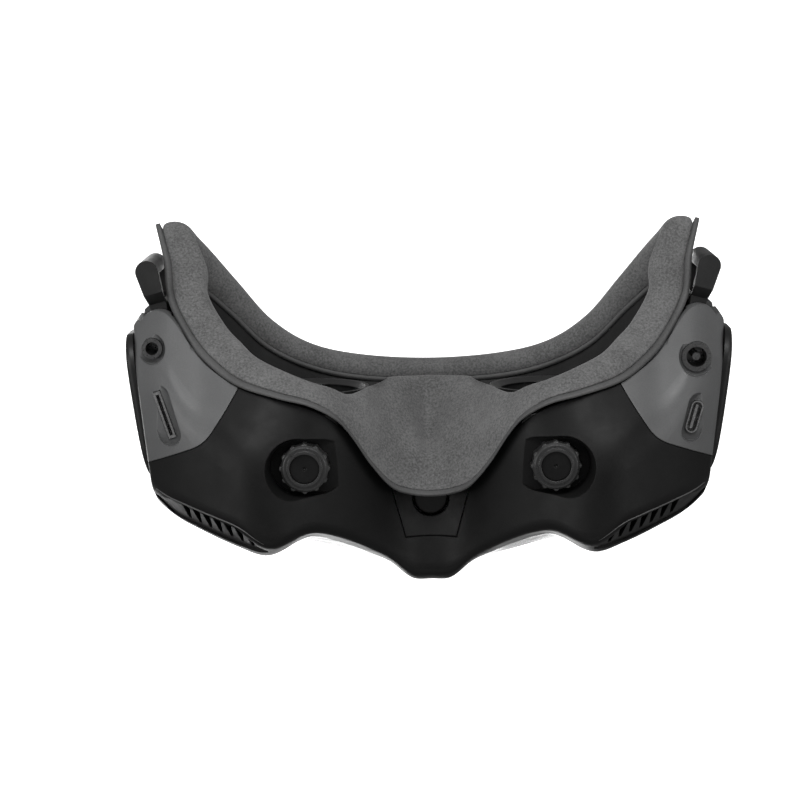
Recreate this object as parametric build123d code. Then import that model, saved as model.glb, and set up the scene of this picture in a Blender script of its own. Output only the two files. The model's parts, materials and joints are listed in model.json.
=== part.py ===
"""FPV goggles: a head-worn twin-display viewer with a foam face ring, folding antennas, strap loops,
two focus knobs that also slide the eyepieces apart, side ports, vents and a touch panel.

Frame, in millimetres: +X is the wearer's left, -Y is the way the wearer looks, +Z is up.
Every part is drawn about the eyepieces and saved with the footprint's middle at the origin.
"""

import os
from math import atan2, cos, degrees, hypot, pi, radians, sin

from build123d import *

# ---- driving dimensions --------------------------------------------------------------------------------
WALL = 2.0  # casing thickness
SEAM = 0.2  # gap between neighbouring casing parts
END_X = 86.0  # the body's loft runs past its side walls and is trimmed back to them
SIDE_ANCHOR = (81.5, 20.0)  # a point of the side wall in plan, at its widest
SIDE_ANGLE = 7.9  # toe-in of the side walls, degrees
TOP_SPLIT_Z = 60.0  # casing joint between the lower parts and the top cover

IPD_REST = 66.8  # distance between the eyepiece axes as modelled
IPD_MIN, IPD_MAX = 58.0, 71.0
EYE_X = IPD_REST / 2
EYE_Z = 42.0
BARREL_R = 16.6
BARREL_BACK_Y = 3.2
BARREL_FRONT_Y = -17.0
LENS_R = 14.0
RUNNING = 0.05  # radial clearance of a shaft in its bearing

KNOB_Y = -13.8
KNOB_R = 6.75
KNOB_FACE_Z = 2.6
KNOB_TOP_Z = 8.8
KNOB_LOBES = 12
SHAFT_R = 1.5
WELL_R = 7.2
WELL_FLOOR_Z = 9.4
WELL_LID_Z = 11.0
PINION_TEETH = 10
GEAR_MODULE = 0.5
PINION_R = PINION_TEETH * GEAR_MODULE / 2

ROD_R = 1.5
TOP_ROD = (-9.8, 63.2)  # y, z of the upper guide rod
LOW_ROD = (-26.5, 19.5)
TOP_ROD_END = 54.0
LOW_ROD_X = (20.5, 52.0)

BUTTON_Y = -26.2
BUTTON_R = 4.7

# The form below is drawn about the eyepieces; this puts its footprint's middle at the origin.
STAND = Pos(0, -0.01, 0.37)

os.makedirs("parts", exist_ok=True)


def save(node, *shapes):
    """Writes one node, moved onto the standing frame; several solids in one node stay separate solids."""
    solids = [STAND * s for shape in shapes for s in shape.solids()]
    export_step(Compound(children=solids) if len(solids) > 1 else solids[0], f"parts/{node}.step")


# ---- small geometry helpers ----------------------------------------------------------------------------
def curve(*knots):
    """A smooth function of x through the given (x, value) knots, flat at the first of them."""
    slopes = [0.0]
    for (x0, v0), (x1, v1), (x2, v2) in zip(knots, knots[1:], knots[2:]):
        before, after = (v1 - v0) / (x1 - x0), (v2 - v1) / (x2 - x1)
        same_way = before * after > 0
        slopes.append(2 * before * after / (before + after) if same_way else 0.0)
    (x0, v0), (x1, v1) = knots[-2:]
    slopes.append((v1 - v0) / (x1 - x0))

    def value(x):
        x = min(max(abs(x), knots[0][0]), knots[-1][0])
        i = next(i for i in range(len(knots) - 1) if x <= knots[i + 1][0])
        (xa, va), (xb, vb) = knots[i], knots[i + 1]
        h = xb - xa
        t = (x - xa) / h
        return (
            va * (1 + 2 * t) * (1 - t) ** 2
            + slopes[i] * h * t * (1 - t) ** 2
            + vb * t * t * (3 - 2 * t)
            + slopes[i + 1] * h * t * t * (t - 1)
        )

    return value


def rounded_wire(points, setbacks):
    """A closed wire whose corners are rounded; a corner with no setback stays sharp."""
    corners = [Vector(*p) for p in points]
    n = len(corners)
    ends = []
    for i, (corner, setback) in enumerate(zip(corners, setbacks)):
        before, after = corners[i - 1] - corner, corners[(i + 1) % n] - corner
        reach_in = min(setback, 0.45 * before.length)
        reach_out = min(setback, 0.45 * after.length)
        ends.append((corner + before.normalized() * reach_in, corner + after.normalized() * reach_out))
    edges = []
    for i in range(n):
        if setbacks[i]:
            edges.append(Edge.make_bezier(ends[i][0], corners[i], ends[i][1]))
        edges.append(Edge.make_line(ends[i][1], ends[(i + 1) % n][0]))
    return Wire(edges)


def box(x0, x1, y0, y1, z0, z1):
    return Pos((x0 + x1) / 2, (y0 + y1) / 2, (z0 + z1) / 2) * Box(abs(x1 - x0), abs(y1 - y0), abs(z1 - z0))


def rod_x(y, z, r, x0, x1):
    return Pos((x0 + x1) / 2, y, z) * Rot(0, 90, 0) * Cylinder(r, abs(x1 - x0))


def rod_y(x, z, r, y0, y1):
    return Pos(x, (y0 + y1) / 2, z) * Rot(90, 0, 0) * Cylinder(r, y1 - y0)


def rod_z(x, y, r, z0, z1):
    return Pos(x, y, (z0 + z1) / 2) * Cylinder(r, z1 - z0)


def prism_z(points, z0, z1):
    """A vertical prism on a polygon in plan."""
    return extrude(Pos(0, 0, z0) * make_face(Polyline(*points, close=True)), z1 - z0)


def prism_y(points, y0, y1):
    """A prism along Y on a polygon of (x, z) points."""
    face = make_face(Polyline(*[(x, y0, z) for x, z in points], close=True))
    return extrude(face, y1 - y0, dir=(0, 1, 0))


def slot_z(x0, x1, y, r, z0, z1):
    """A vertical slot-shaped solid with its ends' centres at x0 and x1."""
    return box(x0, x1, y - r, y + r, z0, z1) + rod_z(x0, y, r, z0, z1) + rod_z(x1, y, r, z0, z1)


def both(solid):
    """A solid and its mirror image across the middle of the goggles."""
    return solid, mirror(solid, Plane.YZ)


# ---- body form: eight corners of a lengthwise section at any x -----------------------------------------
rear_low_y = curve(
    (0, -20.8), (6, -20.2), (11, -17.6), (16, -12.5), (21, -7), (25, -2.6), (32, 1.4), (40, 3.8),
    (50, 6.4), (58, 10.6), (65, 16.6), (70, 23.6), (74, 26), (80, 23), (86, 20),
)
rear_low_z = curve(
    (0, 27.5), (6, 26.5), (11, 23), (16, 17.8), (21, 13), (25, 10), (32, 8), (40, 8.6),
    (50, 12.6), (58, 18), (65, 25), (70, 30), (74, 33), (80, 37), (86, 42),
)
belly_y = curve((0, -33), (10, -30), (16, -25), (22, -18), (28, -13), (44, -10), (60, -4), (72, 8), (86, 12))
belly_z = curve(
    (0, 26.5), (10, 22.5), (16, 16.8), (22, 11.4), (28, 7.2), (34, 4.6), (40, 2.0), (45, 0.6),
    (49, 0.9), (55, 3.8), (62, 9), (70, 15.5), (76, 21.5), (86, 34),
)
edge_y = curve(
    (0, -46.6), (5, -46.2), (9.5, -42.6), (15, -38.6), (22, -34.5), (28, -32.0), (33, -31.4),
    (38, -33.2), (44, -34.0), (50, -30.0), (62, -25.8), (70, -23.4), (76, -20.6), (80, -16), (86, -8),
)
edge_z = curve(
    (0, 23.5), (5, 23), (10, 20.5), (16, 16), (22, 11), (28, 6.8), (33, 3.6), (39, 0.6),
    (45, -0.5), (49, 0.0), (55, 2.6), (62, 7.2), (70, 13.6), (76, 20), (80, 25.5), (86, 34),
)
front_y = curve(
    (0, -49.8), (5, -49.5), (9.5, -45.6), (15, -41.5), (22, -37.1), (28, -34.4), (33, -33.6),
    (38, -36.5), (44, -39.3), (50, -38.1), (60, -34.4), (70, -30.3), (76, -25.6), (80, -19.5), (86, -12),
)
front_z = curve((0, 30), (10, 28), (22, 20), (33, 14), (44, 13), (60, 18.5), (70, 25), (76, 30), (86, 40))
brow_y = curve(
    (0, -48.2), (20, -45), (33, -41.5), (45, -39.4), (60, -33.5), (70, -28.2), (76, -22.8),
    (80, -17.5), (86, -9),
)
brow_low_z = curve((0, 45), (45, 44), (70, 44.5), (86, 46))
brow_top_z = curve((0, 64), (30, 63.2), (50, 61), (66, 58), (76, 54.5), (86, 49))
top_z = curve((0, 77.2), (20, 76.9), (36, 75.2), (50, 71.6), (62, 66.6), (72, 61.4), (80, 57), (86, 53))
rear_top_y = curve(
    (0, 1.0), (18, 1.6), (34, 4.6), (47, 10.6), (58, 20), (66, 27.6), (72, 29), (80, 23.5), (86, 18)
)
rear_top_z = curve((0, 78.4), (18, 78.2), (34, 76.6), (47, 73), (58, 67.5), (66, 62.6), (74, 57.8), (86, 51))

BODY_SETBACKS = (0, 7, 3, 4, 6, 5, 6, 0)
STATIONS = (0, 5, 10, 16, 22, 28, 33, 38, 44, 50, 56, 63, 70, 76, 81, END_X)
ALL_STATIONS = [-x for x in reversed(STATIONS[1:])] + list(STATIONS)


def body_corners(x):
    """Corners in (y, z), from the rear lower rim forwards, up the front and back to the rear upper rim."""
    return [
        (rear_low_y(x), rear_low_z(x)),
        (belly_y(x), belly_z(x)),
        (edge_y(x), edge_z(x)),
        (front_y(x), front_z(x)),
        (brow_y(x), brow_low_z(x)),
        (brow_y(x) + 1.2, brow_top_z(x)),
        (brow_y(x) + 12.0, top_z(x)),
        (rear_top_y(x), rear_top_z(x)),
    ]


def inset(corners, depth, run_on):
    """The same open outline moved inwards by depth, with both ends run on past the rear opening."""
    legs = []
    for (y0, z0), (y1, z1) in zip(corners, corners[1:]):
        length = hypot(y1 - y0, z1 - z0)
        legs.append(((y1 - y0) / length, (z1 - z0) / length))
    moved = []
    for i, (y, z) in enumerate(corners):
        (ay, az), (by, bz) = legs[max(i - 1, 0)], legs[min(i, len(legs) - 1)]
        share = depth / (1 + ay * by + az * bz)
        moved.append((y + (az + bz) * share, z - (ay + by) * share))
    (ay, az), (by, bz) = legs[0], legs[-1]
    moved[0] = (moved[0][0] - ay * run_on, moved[0][1] - az * run_on)
    moved[-1] = (moved[-1][0] + by * run_on, moved[-1][1] + bz * run_on)
    return moved


def inset_loop(points, depth):
    """A closed anticlockwise outline with every side moved inwards by depth."""
    n = len(points)
    legs = []
    for i, (x0, y0) in enumerate(points):
        x1, y1 = points[(i + 1) % n]
        length = hypot(x1 - x0, y1 - y0)
        legs.append(((x1 - x0) / length, (y1 - y0) / length))
    moved = []
    for i, (x, y) in enumerate(points):
        (ax, ay), (bx, by) = legs[i - 1], legs[i]
        share = depth / (1 + ax * bx + ay * by)
        moved.append((x - (ay + by) * share, y + (ax + bx) * share))
    return moved


def body_loft(depth=0.0, run_on=0.0):
    """The body's form, moved inwards by depth, between its side walls."""
    wires = []
    for x in ALL_STATIONS:
        corners = body_corners(x)
        if depth:
            corners = inset(corners, depth, run_on)
        setbacks = [max(s - depth, 1.0) if s else 0 for s in BODY_SETBACKS]
        wires.append(rounded_wire([(x, y, z) for y, z in corners], setbacks))
    loft_solid = Part() + Solid.make_loft(wires)
    for side in (1, -1):
        loft_solid -= side_cutter(side, depth)
    return loft_solid


def side_plane(side, inwards=0.0):
    """The side wall's plane: z out of the wall, x to the rear."""
    a = radians(SIDE_ANGLE)
    out = (side * cos(a), -sin(a), 0)
    origin = (side * SIDE_ANCHOR[0] - out[0] * inwards, SIDE_ANCHOR[1] - out[1] * inwards, EYE_Z)
    return Plane(origin=origin, x_dir=(side * sin(a), cos(a), 0), z_dir=out)


def side_cutter(side, inwards):
    return side_plane(side, inwards) * Pos(0, 0, 20) * Box(200, 200, 40)


# ---- face ring: stations from the middle of the forehead, past the temple, to the middle of the nose ---
# Each station has the outer edge of the rigid frame, the ring's width towards the opening, its depth towards
# the face, and how much of that depth is left at the inner side.
RING = (
    ((0, -0.6, 79.6), (0, 0.5, -8.0), (0, 7.2, 0), 0.9),
    ((20, 0.6, 79.2), (0, 0.4, -8.4), (0, 7.4, 0), 0.9),
    ((36, 4.5, 77.4), (-1.5, 0, -8.5), (-1, 7.4, -0.5), 0.9),
    ((50, 11.5, 73.6), (-3.5, -0.5, -8.5), (-3.1, 8.4, -1), 0.9),
    ((62, 23, 67), (-6, -2, -7), (-5.3, 9, -1), 0.85),
    ((70.5, 34, 59.8), (-6.5, -5, -5), (-7.4, 8.4, -1), 0.8),
    ((74.6, 44, 52.5), (-6, -10, -3), (-9, 4.2, -0.5), 0.8),
    ((75.6, 48.2, 46.3), (-5, -13.5, 0.5), (-9.6, 2.4, 0), 0.75),
    ((73.2, 38.8, 41.5), (-6, -9, 3), (-10.2, 2.4, 0), 0.7),
    ((71.6, 28.3, 35), (-6, -4, 6), (-9.4, 4, 0), 0.6),
    ((65.1, 17.3, 26), (-6, 0, 7), (-7.8, 5.5, 1.5), 0.55),
    ((57.9, 10.8, 18), (-5, 2, 8), (-5.2, 7.2, 3), 0.55),
    ((50.6, 6.9, 12), (-3, 2.5, 9), (-3, 7.3, 4), 0.55),
    ((40.1, 4.3, 7), (-0.5, 2.5, 9.5), (-1, 6.7, 5.5), 0.55),
    ((32.1, 2.4, 6), (0, 2.5, 9), (0, 6, 6), 0.6),
    ((25.3, -1.3, 7), (0.5, 2.8, 7), (0.9, 7.9, 9), 0.75),
    ((21.1, -6.2, 9), (0.9, 2.6, 5.5), (0.9, 10.7, 12), 0.85),
    ((15.9, -14.8, 13), (0.8, 2.2, 4.2), (1.1, 18.8, 16), 0.95),
    ((10.6, -21.5, 17), (0.5, 2.0, 3.8), (1.7, 25.4, 21), 0.95),
    ((5.8, -24, 20), (0.2, 2.0, 3.6), (-1.0, 27.5, 26), 0.95),
    ((0, -24.8, 21), (0, 2, 3.5), (0, 28.2, 27), 0.95),
)
FRAME_T = 1.4
FRAME_LIP = 0.5  # how far the frame's outer edge stands out past the foam


def ring_solid(outward, start, end, extra_width=0.0, rounding=(0, 0, 0, 0)):
    """A closed ring along the stations; start and end are depths towards the face, end None full depth."""
    wires = []
    for outer, width, depth, inner_share in RING:
        outer, width, depth = Vector(*outer), Vector(*width), Vector(*depth)
        across, inwards = width.normalized(), depth.normalized()
        span = across * (width.length + outward + extra_width)
        near = outer - across * outward + inwards * start
        if end is None:
            far, far_inner = depth.length - start, depth.length * inner_share - start
        else:
            far = far_inner = end - start
        corners = (near, near + inwards * far, near + span + inwards * far_inner, near + span)
        wires.append(rounded_wire([tuple(p) for p in corners], rounding))
    half = Part() + Solid.make_loft(wires, ruled=True)
    return half + mirror(half, Plane.YZ)


# The light skirt closes the way from the frame's inner edge to the bulkhead: its feet, one for each ring
# station from SKIRT_FROM on, are (x, z) points of the bulkhead's face.
SKIRT_FROM = 2
SKIRT_FEET = (
    (33.5, 68.5), (44.5, 64.5), (52, 59), (56.5, 53.5), (58.5, 48), (59, 44.5), (58.6, 42),
    (57, 38.5), (54.5, 32.5), (51, 26.5), (46, 22), (39, 18.5), (32.1, 17.8), (26.8, 17.6),
)
SKIRT_T = 0.9
SKIRT_Y = -1.95


def skirt_solid():
    """The left light skirt, a thin ruled band."""
    tops, feet = [], []
    for (outer, width, depth, _), (x, z) in zip(RING[SKIRT_FROM:], SKIRT_FEET):
        outer, width, depth = Vector(*outer), Vector(*width), Vector(*depth)
        tops.append(outer + width - width.normalized() * 1.2 + depth.normalized() * (FRAME_T / 2))
        feet.append(Vector(x, SKIRT_Y, z))
    wires = []
    for i, (top, foot) in enumerate(zip(tops, feet)):
        along = tops[min(i + 1, len(tops) - 1)] - tops[max(i - 1, 0)]
        thick = (foot - top).cross(along).normalized() * SKIRT_T
        if thick.dot(foot - Vector(EYE_X, SKIRT_Y, EYE_Z)) < 0:
            thick = thick * -1
        wires.append(Wire.make_polygon([tuple(p) for p in (top, foot, foot + thick, top + thick)]))
    return Part() + Solid.make_loft(wires, ruled=True)


# ---- ports, hinges and trays ---------------------------------------------------------------------------
PLAN_POCKETS = {  # ports: pocket's centre in plan, and its radius
    "audio": (75.5, 15.9, 4.0),
    "power": (-72.5, 12.5, 5.0),
}
AUDIO_FLOOR_Z, POWER_FLOOR_Z = 28.6, 23.6
CARD_CENTRE, CARD_TURN, CARD_FLOOR_Z = (71.6, -1.0), -18.2, 18.4
USB_CENTRE, USB_TURN, USB_FLOOR_Z = (-71.4, -3.1), 16.3, 18.4
POCKET_WALL = 1.6
STRAP_PIN = (73.6, 24.2)
STRAP_PIN_R = 1.0
STRAP_GAP_Z = (35.6, 54.4)
ANTENNA_Y = -19.0
ANTENNA_W = 9.0
ANTENNA_T = 4.6
ANTENNA_L = 37.0
ANTENNA_HINGE = (53.0, 67.4)  # x, z of the left antenna's pin
ANTENNA_TILT = 9.5
TRAY_WALL = 1.6
SCREW_X, SCREW_Z = 19.0, 70.8
audio_x, audio_y, audio_r = PLAN_POCKETS["audio"]
power_x, power_y, power_r = PLAN_POCKETS["power"]
well_x0, well_x1 = IPD_MIN / 2, IPD_MAX / 2


WELL_MOUTH = ((WELL_FLOOR_Z, 0.0), (6.0, 0.35), (3.0, 1.6), (0.0, 5.0), (-3.0, 9.0))  # height, flare


def knob_well():
    """The left focus knob's well, which opens out softly, least at its outer end."""
    wires = []
    for z, flare in WELL_MOUTH:
        r = WELL_R + flare
        x0, x1 = well_x0, well_x1 - 0.7 * flare
        y = KNOB_Y + 0.15 * flare
        wires.append(
            Wire([
                Edge.make_line((x0, y - r, z), (x1, y - r, z)),
                Edge.make_three_point_arc((x1, y - r, z), (x1 + r, y, z), (x1, y + r, z)),
                Edge.make_line((x1, y + r, z), (x0, y + r, z)),
                Edge.make_three_point_arc((x0, y + r, z), (x0 - r, y, z), (x0, y - r, z)),
            ])
        )
    return Part() + Solid.make_loft(wires)


def turned_slot(centre, turn, half_length, r, z0, z1):
    """A vertical slot-shaped solid lying along Y, turned about its centre."""
    slot = Rot(0, 0, 90) * slot_z(-half_length, half_length, 0, r, z0, z1)
    return Pos(centre[0], centre[1], 0) * Rot(0, 0, turn) * slot


def main_body(shape, smallest=60.0):
    """The shape without the slivers that a cut left."""
    return Compound(children=[s for s in shape.solids() if s.volume > smallest])


# ---- side panels ---------------------------------------------------------------------------------------
PANEL_LENGTH, PANEL_HEIGHT, PANEL_PROUD = 40.0, 26.0, 2.6
PANEL_Y, PANEL_Z = -0.6, 42.0


def side_panel(side):
    """A domed plate that stands proud of the side wall."""
    wall = side_plane(side)
    along = (PANEL_Y - SIDE_ANCHOR[1]) / cos(radians(SIDE_ANGLE))
    outline = Pos(along, side * (EYE_Z - PANEL_Z)) * RectangleRounded(PANEL_LENGTH, PANEL_HEIGHT, 9)
    plate = extrude(outline, PANEL_PROUD)
    plate = fillet(plate.faces().sort_by(Axis.Z)[-1].edges(), 1.6)
    dome_r = 230.0
    dome = Pos(along + 1.5, 0, PANEL_PROUD - dome_r) * Rot(90, 0, 0) * Cylinder(dome_r, 80)
    return wall * Pos(0, 0, 0.05) * (plate & dome)


save("side_panel_left", side_panel(1))
save("touch_panel_right", side_panel(-1))

# ---- bulkhead between the casing and the face ring -----------------------------------------------------
BULKHEAD_Y = (-4.6, -2.6)
# rod, inner and outer X, reach below and above the rod
ROD_LUGS = ((TOP_ROD, 51.5, 54.5, 2.8, 2.6), (LOW_ROD, 50.0, 52.6, 2.6, 2.6), (LOW_ROD, 19.6, 22.6, 2.2, 2.6))
LUG_REACH = 2.4
PORTHOLE_R = 17.7
bulkhead = body_loft(WALL + 0.15, 8) & box(-69, 69, *BULKHEAD_Y, 0, 90)
for side in (1, -1):
    bulkhead -= box(side * 63.5, side * 70, -10, 0, 17, 43)
    for rod, x0, x1, below, above in ROD_LUGS:
        rod_y0 = rod[0] - LUG_REACH
        bulkhead += box(side * x0, side * x1, rod_y0, BULKHEAD_Y[1], rod[1] - below, rod[1] + above)
bulkhead -= rod_x(*TOP_ROD, ROD_R + 0.03, -TOP_ROD_END - 0.05, TOP_ROD_END + 0.05)
for side in (1, -1):
    bulkhead -= rod_x(*LOW_ROD, ROD_R + 0.03, side * (LOW_ROD_X[0] - 0.05), side * (LOW_ROD_X[1] + 0.05))
bulkhead -= ring_solid(0.6, -0.4, None, extra_width=0.8)
for side in (1, -1):
    bulkhead -= Rot(90, 0, 0) * slot_z(side * well_x0, side * well_x1, EYE_Z, PORTHOLE_R, -20, 20)
    bulkhead -= rod_y(side * SCREW_X, SCREW_Z, 1.15, -10, 0)
    well_clear_r = WELL_R + POCKET_WALL + 0.2
    bulkhead -= slot_z(side * well_x0, side * well_x1, KNOB_Y, well_clear_r, 0, WELL_LID_Z + 0.2)
card_clear_r, card_clear_z = 3.3 + POCKET_WALL + 0.25, CARD_FLOOR_Z + POCKET_WALL + 0.3
usb_clear_r, usb_clear_z = 3.0 + POCKET_WALL + 0.25, USB_FLOOR_Z + POCKET_WALL + 0.3
bulkhead -= turned_slot(CARD_CENTRE, CARD_TURN, 5.0, card_clear_r, 0, card_clear_z)
bulkhead -= turned_slot(USB_CENTRE, USB_TURN, 3.6, usb_clear_r, 0, usb_clear_z)
SENSOR_Z = 62.0
bulkhead -= rod_y(0, SENSOR_Z, 3.05, -10, 0)
save("eyepiece_bulkhead", main_body(bulkhead))
save("face_sensor", rod_y(0, SENSOR_Z, 3.0, -6.0, -2.2))
screws = [
    rod_y(s * SCREW_X, SCREW_Z, 0.95, -10.5, -2.5) + rod_y(s * SCREW_X, SCREW_Z, 1.9, -2.5, -1.3)
    - Pos(s * SCREW_X, -1.3, SCREW_Z) * Rot(90, 0, 0) * extrude(RegularPolygon(0.9, 6), 0.7, both=True)
    for s in (1, -1)
]
save("bulkhead_screws", *screws)

EYE_CLEAR_R, EYE_CLEAR_SIDES = PORTHOLE_R + 0.5, 8


def eye_clearance(side):
    """A flat-sided column with room for an eyepiece at each of its settings."""
    outline = []
    for centre_x, first in ((well_x0, pi / 2), (well_x1, -pi / 2)):
        for k in range(EYE_CLEAR_SIDES + 1):
            a = first + pi * k / EYE_CLEAR_SIDES
            outline.append((side * (centre_x + EYE_CLEAR_R * cos(a)), EYE_Z + EYE_CLEAR_R * sin(a)))
    return prism_y(outline, -5.0, 40)


foam_frame = ring_solid(0, 0, FRAME_T)
for skirt in both(skirt_solid()):
    foam_frame += skirt
foam_pad = ring_solid(-FRAME_LIP, FRAME_T + 0.05, None, rounding=(1, 3, 3, 1))
for side in (1, -1):
    foam_frame -= Rot(90, 0, 0) * slot_z(side * well_x0, side * well_x1, EYE_Z, PORTHOLE_R + 0.4, -5.0, 40)
    foam_pad -= eye_clearance(side)
save("foam_frame", main_body(foam_frame))
save("foam_pad", main_body(foam_pad))

# ---- eyepieces: everything on one side, drawn at the left and mirrored ---------------------------------
RING_Y = (-13.5, -6.0)
RING_R = 18.4
FOOT_Z = (11.6, 13.6)
PINION_Z = (13.8, 19.8)
RACK_Z = (15.0, 18.6)
TOOTH = pi * GEAR_MODULE


def eyepiece_carriage():
    x = EYE_X
    part = rod_y(x, EYE_Z, RING_R, *RING_Y)
    part += box(x - 5, x + 5, -12.0, RING_Y[1], EYE_Z + RING_R - 3, TOP_ROD[1] + 2.4)
    part += box(x + 4, x + 6.5, RING_Y[0], RING_Y[1], FOOT_Z[0], EYE_Z - 16)
    part += box(x - 3.4, x + 6.5, -19.5, -8.0, *FOOT_Z)
    part += box(x + 4, x + 10, LOW_ROD[0] - 2.6, LOW_ROD[0] + 2.6, LOW_ROD[1] - 2.6, LOW_ROD[1] + 2.6)
    part += box(x + 4, x + 6.5, LOW_ROD[0], RING_Y[1], LOW_ROD[1] - 2.6, LOW_ROD[1] + 2.6)
    part += box(x - 4, x + 4, -25.8, -11, EYE_Z + RING_R - 0.6, EYE_Z + RING_R + 1.6)
    part += box(x - 12.5, x + 12.5, -25.8, -24.3, EYE_Z - 11, EYE_Z + RING_R + 1.6)
    part -= rod_y(x, EYE_Z, BARREL_R + RUNNING, -22, 0)
    part -= rod_x(*TOP_ROD, ROD_R + RUNNING, x - 20, x + 20)
    part -= rod_x(*LOW_ROD, ROD_R + RUNNING, x - 20, x + 20)
    part -= rod_z(x, KNOB_Y, SHAFT_R + 0.08, 10, 24)
    return part


def lens_barrel():
    x = EYE_X
    tube = rod_y(x, EYE_Z, BARREL_R, BARREL_FRONT_Y, BARREL_BACK_Y)
    ribs = 60
    outline = []
    for i in range(ribs):
        for height, phase in ((0.1, 0), (0.1, 0.45), (0.6, 0.55), (0.6, 0.9)):
            a = 2 * pi * (i + phase) / ribs
            r = BARREL_R + height
            outline.append((x + r * cos(a), EYE_Z + r * sin(a)))
    tube += prism_y(outline, -1.4, 2.6)
    tube -= rod_y(x, EYE_Z, 15.0, -20, -3.0)
    tube -= rod_y(x, EYE_Z, LENS_R + RUNNING, -4, 1.9)
    tube -= Pos(x, 2.55, EYE_Z) * Rot(90, 0, 0) * Cone(15.8, 13.4, 1.5)
    return tube


def lens():
    """A biconvex lens whose edge sits in the barrel."""
    thick, crown = 2.0, 1.6
    sphere_r = (LENS_R**2 + crown**2) / (2 * crown)
    front = Pos(EYE_X, -0.4 - thick - crown + sphere_r, EYE_Z) * Sphere(sphere_r)
    back = Pos(EYE_X, -0.4 + crown - sphere_r, EYE_Z) * Sphere(sphere_r)
    return rod_y(EYE_X, EYE_Z, LENS_R, -8, 4) & front & back


def focus_rack():
    x = EYE_X - PINION_R
    part = box(x - 3.4, x - 0.05, -19.5, -6.4, *RACK_Z)
    part += box(x - 3.4, x - 0.6, -16.9, -15.2, RACK_Z[0], EYE_Z - 10)
    part -= rod_y(EYE_X, EYE_Z, BARREL_R + 0.02, -30, 10)
    part -= box(x - 0.45, x + 5, -19.5, -6.4, 0, 40)
    for i in range(-3, 4):
        y = KNOB_Y + TOOTH * (i + 0.5)
        tooth = [(x - 0.5, y - 0.42), (x + 0.35, y - 0.16), (x + 0.35, y + 0.16), (x - 0.5, y + 0.42)]
        part += prism_z(tooth, *RACK_Z)
    return part


def pinion():
    part = rod_z(EYE_X, KNOB_Y, PINION_R - 0.55, *PINION_Z)
    outline = [(1.7, -0.42), (2.3, -0.36), (2.85, -0.14), (2.85, 0.14), (2.3, 0.36), (1.7, 0.42)]
    tooth = prism_z(outline, *PINION_Z)
    for i in range(PINION_TEETH):
        part += Pos(EYE_X, KNOB_Y, 0) * Rot(0, 0, 180 + i * 360 / PINION_TEETH) * tooth
    return part - keyed_shaft(RUNNING, 10, 24)


def keyed_shaft(clearance, z0, z1):
    shaft = rod_z(EYE_X, KNOB_Y, SHAFT_R + clearance, z0, z1)
    return shaft - box(EYE_X + 1.15 + clearance, EYE_X + 4, KNOB_Y - 3, KNOB_Y + 3, z0 - 1, z1 + 1)


def focus_knob():
    knob = rod_z(EYE_X, KNOB_Y, KNOB_R - 0.45, KNOB_FACE_Z + 0.6, KNOB_TOP_Z)
    knob = chamfer(knob.faces().sort_by(Axis.Z)[0].edges(), 0.6)
    lobe_r = 0.75
    for i in range(KNOB_LOBES):
        a = 2 * pi * i / KNOB_LOBES
        x, y = EYE_X + (KNOB_R - lobe_r) * cos(a), KNOB_Y + (KNOB_R - lobe_r) * sin(a)
        knob += rod_z(x, y, lobe_r, KNOB_FACE_Z + 1.2, KNOB_TOP_Z - 0.6)
    knob += rod_z(EYE_X, KNOB_Y, 4.75, KNOB_FACE_Z, KNOB_FACE_Z + 1)
    knob -= rod_z(EYE_X, KNOB_Y, 4.0, KNOB_FACE_Z - 1, KNOB_FACE_Z + 1.6)
    return knob


def knob_cap():
    cap = rod_z(EYE_X, KNOB_Y, 3.9, KNOB_FACE_Z + 0.8, KNOB_FACE_Z + 1.55)
    return cap - Pos(EYE_X, KNOB_Y, KNOB_FACE_Z + 0.8) * Sphere(0.5)


def display():
    x = EYE_X
    return box(x - 11.5, x + 11.5, -24.2, -22.6, EYE_Z - 9.5, EYE_Z + 9.5)


def display_glass():
    x = EYE_X
    return box(x - 10.5, x + 10.5, -22.55, -21.8, EYE_Z - 8.5, EYE_Z + 8.5)


one_eye = {
    "eyepiece_carriage": eyepiece_carriage(),
    "lens_barrel": lens_barrel(),
    "lens": lens(),
    "focus_rack": focus_rack(),
    "focus_pinion": pinion(),
    "focus_knob": focus_knob(),
    "knob_cap": knob_cap(),
    "knob_shaft": keyed_shaft(0, KNOB_TOP_Z, 22.3),
    "display": display(),
    "display_glass": display_glass(),
}
for name, shape in one_eye.items():
    left, right = both(shape)
    save(f"{name}_left", left)
    save(f"{name}_right", right)
save("guide_rod_upper", rod_x(*TOP_ROD, ROD_R, -TOP_ROD_END, TOP_ROD_END))
low_rods = [rod_x(*LOW_ROD, ROD_R, side * LOW_ROD_X[0], side * LOW_ROD_X[1]) for side in (1, -1)]
save("guide_rods_lower", *low_rods)

# ---- electronics ---------------------------------------------------------------------------------------
BOARD_Y = (-30.0, -28.6)
board = box(-40, 40, *BOARD_Y, 37.5, 61)
board += box(-9, 9, BOARD_Y[1] - 0.1, BOARD_Y[1] + 1.2, 40, 58)
for x, z in ((-30, 52), (-20, 43), (20, 52), (30, 43)):
    board += box(x - 4, x + 4, BOARD_Y[1] - 0.1, BOARD_Y[1] + 1.0, z - 4, z + 4)
save("main_board", board)
FAN_Z = 47.0
FAN_HALF = 13.0
FAN_Y = (-41.0, -34.4)
sink = box(-FAN_HALF, FAN_HALF, BOARD_Y[0] - 1.2, BOARD_Y[0] - 0.05, FAN_Z - 9, FAN_Z + FAN_HALF)
for i in range(9):
    x = -12.4 + i * 3.1
    sink += box(x - 0.4, x + 0.4, FAN_Y[1] + 0.2, BOARD_Y[0] - 1, FAN_Z - 9, FAN_Z + FAN_HALF)
save("heat_sink", sink)
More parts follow.
